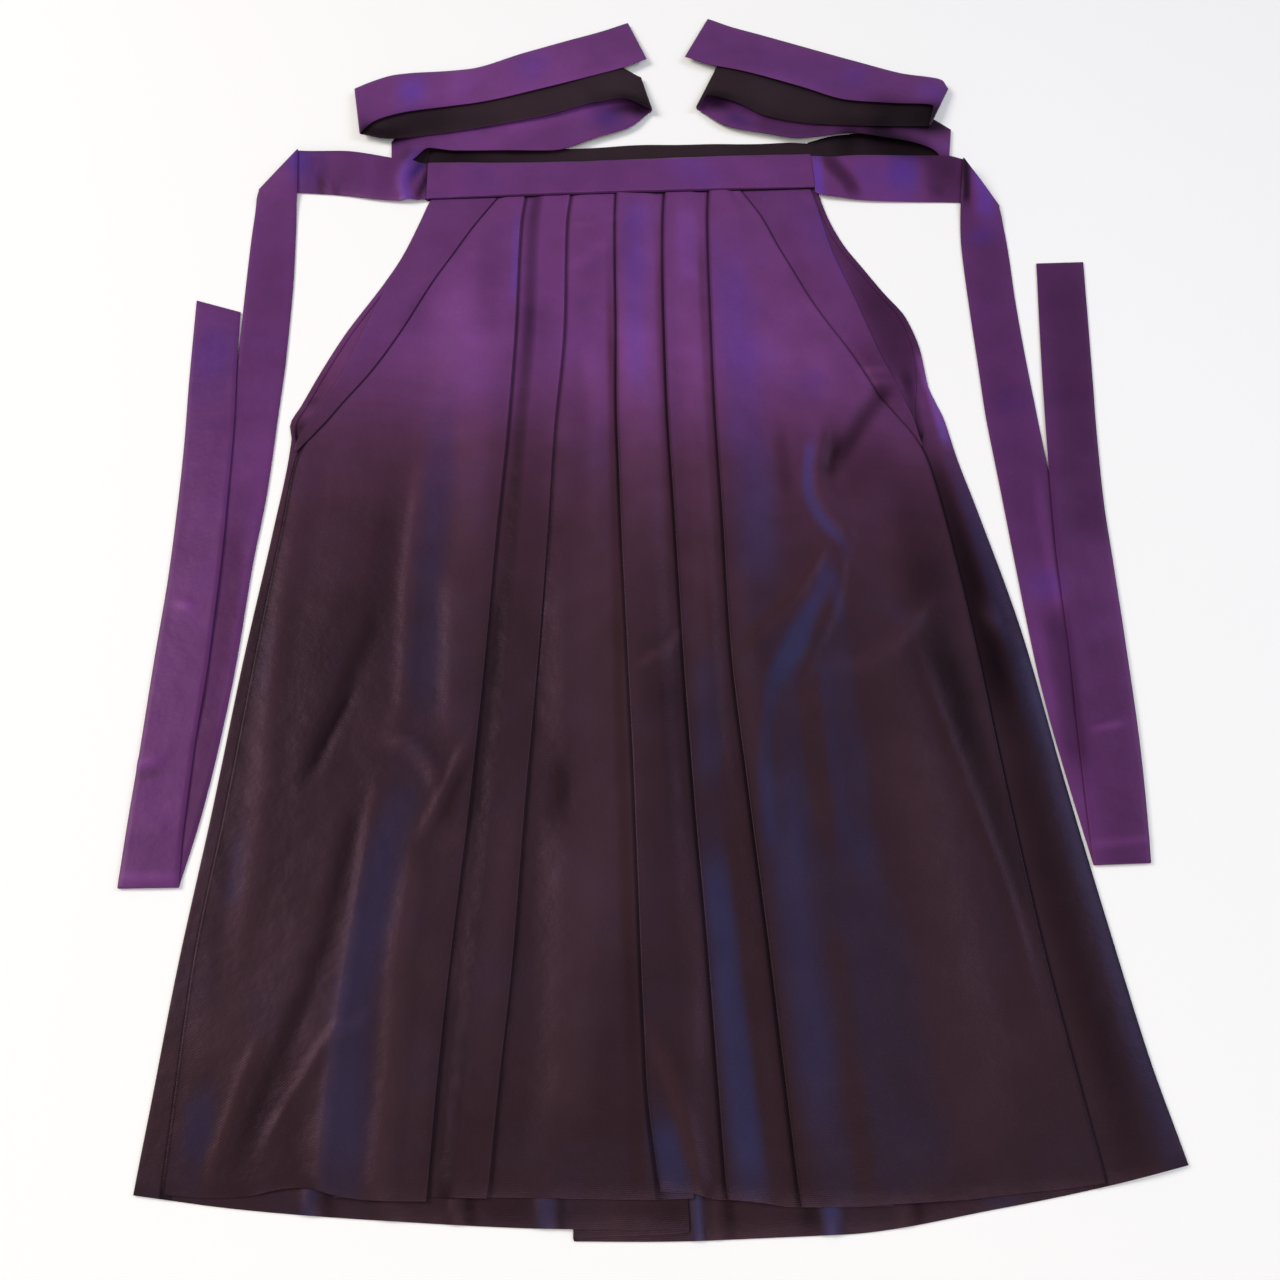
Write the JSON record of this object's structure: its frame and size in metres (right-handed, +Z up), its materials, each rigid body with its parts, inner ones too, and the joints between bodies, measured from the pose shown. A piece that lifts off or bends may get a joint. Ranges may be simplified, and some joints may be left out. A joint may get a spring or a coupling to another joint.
{
  "type": "hakama trousers",
  "caption": "Pleated wide hakama trousers laid flat front up, with slit sides, front and back waistbands, and long ties folded beside and above them.",
  "frame": {"origin": "middle of the garment's bounding box in x and y, on the surface it lies on", "axes": "+X to the right and +Y from the hem towards the waistband as seen from above, +Z up from the surface, through the garment's thickness"},
  "size_m": [0.8124, 1.138, 0.0142],
  "materials": {
    "ombre_cloth": "smooth polyester weave, purple at the waist and dark brown purple at the hem",
    "purple_cloth": "smooth polyester weave with a soft sheen",
    "dark_cloth": "matt dark reverse side"
  },
  "bodies": {
    "root": {"front_panel": "ombre_cloth", "back_panel": "ombre_cloth", "front_side_fold_left": "ombre_cloth", "front_side_fold_right": "ombre_cloth", "front_waistband": "purple_cloth", "back_waistband": "dark_cloth", "front_tie_left": "purple_cloth", "front_tie_right": "purple_cloth", "back_tie_left": "purple_cloth", "back_tie_right": "purple_cloth"}
  },
  "joints": []
}
